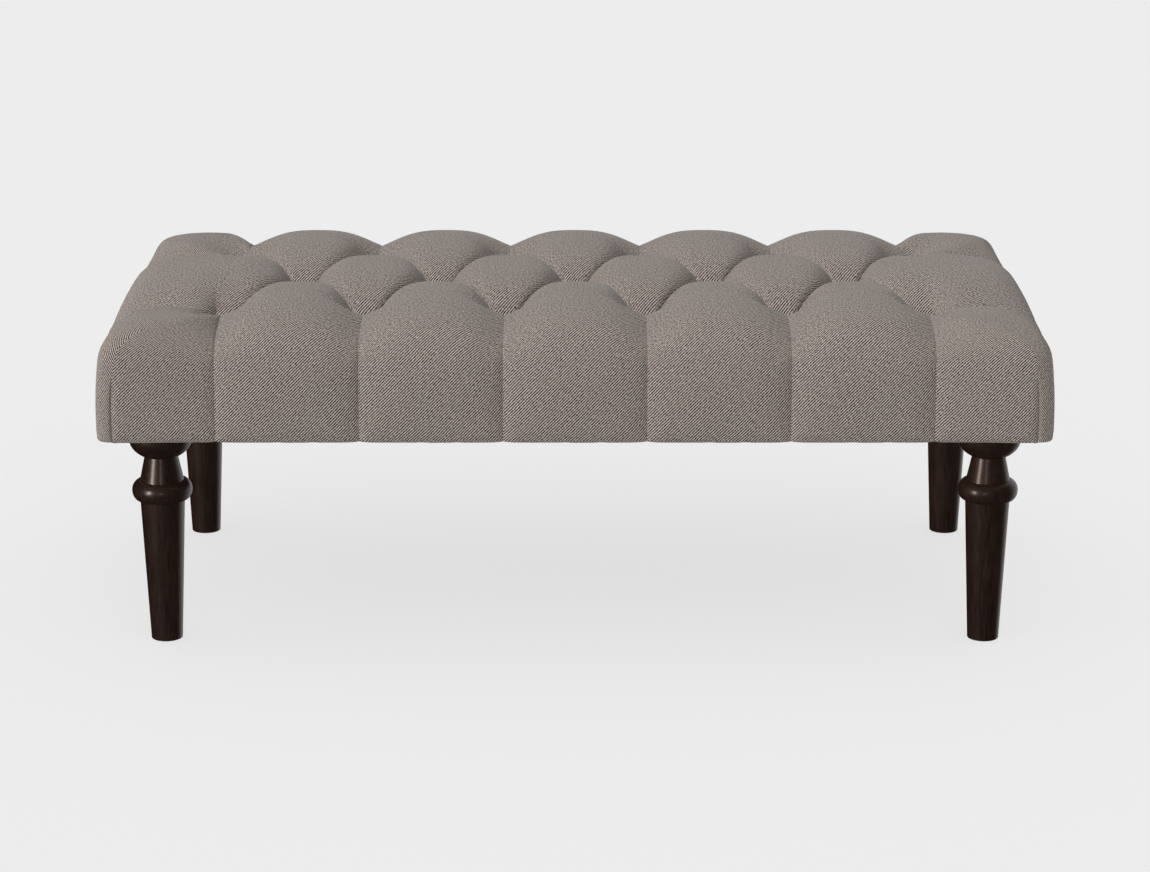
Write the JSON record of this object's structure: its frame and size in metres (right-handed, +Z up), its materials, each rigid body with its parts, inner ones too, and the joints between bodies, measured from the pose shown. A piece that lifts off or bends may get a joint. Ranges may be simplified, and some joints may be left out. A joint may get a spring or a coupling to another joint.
{
  "type": "tufted footstool",
  "caption": "Long upholstered footstool or bench: diamond-tufted fabric cushion over a dowelled wood frame, standing on turned and tapered wooden legs.",
  "frame": {"origin": "on the floor, under the middle of the seat", "axes": "+X along the seat's length to the right as seen from the front, +Y from front to rear, +Z up"},
  "size_m": [1.2194, 0.6388, 0.4491],
  "materials": {
    "cover_fabric": "heathered taupe twill weave",
    "wadding": "white polyester fibre",
    "foam": "open-cell foam, matte",
    "twine": "waxed twine",
    "button_plastic": "moulded",
    "plywood": "bare plywood",
    "zinc_steel": "zinc plated",
    "frame_wood": "planed softwood, bare",
    "dowel_wood": "fluted beech, bare",
    "dust_cloth": "black non-woven cloth",
    "leg_wood": "dark espresso stain, satin lacquer",
    "glide_plastic": "moulded nylon"
  },
  "bodies": {
    "root": {"fabric_cover": "cover_fabric", "fibre_wadding": "wadding", "foam_pad": "foam", "tufting_twine": "twine", "back_buttons": "button_plastic", "deck_board": "plywood", "deck_screws": "zinc_steel", "front_rail": "frame_wood", "rear_rail": "frame_wood", "left_end_rail": "frame_wood", "right_end_rail": "frame_wood", "cross_rail_1": "frame_wood", "cross_rail_2": "frame_wood", "rail_dowels": "dowel_wood", "corner_block_front_left": "frame_wood", "corner_block_front_right": "frame_wood", "corner_block_rear_left": "frame_wood", "corner_block_rear_right": "frame_wood", "block_screws": "zinc_steel", "tee_nuts": "zinc_steel", "hanger_bolts": "zinc_steel", "dust_cover": "dust_cloth", "leg_front_left": "leg_wood", "leg_front_right": "leg_wood", "leg_rear_left": "leg_wood", "leg_rear_right": "leg_wood", "floor_glides": "glide_plastic"}
  },
  "joints": []
}
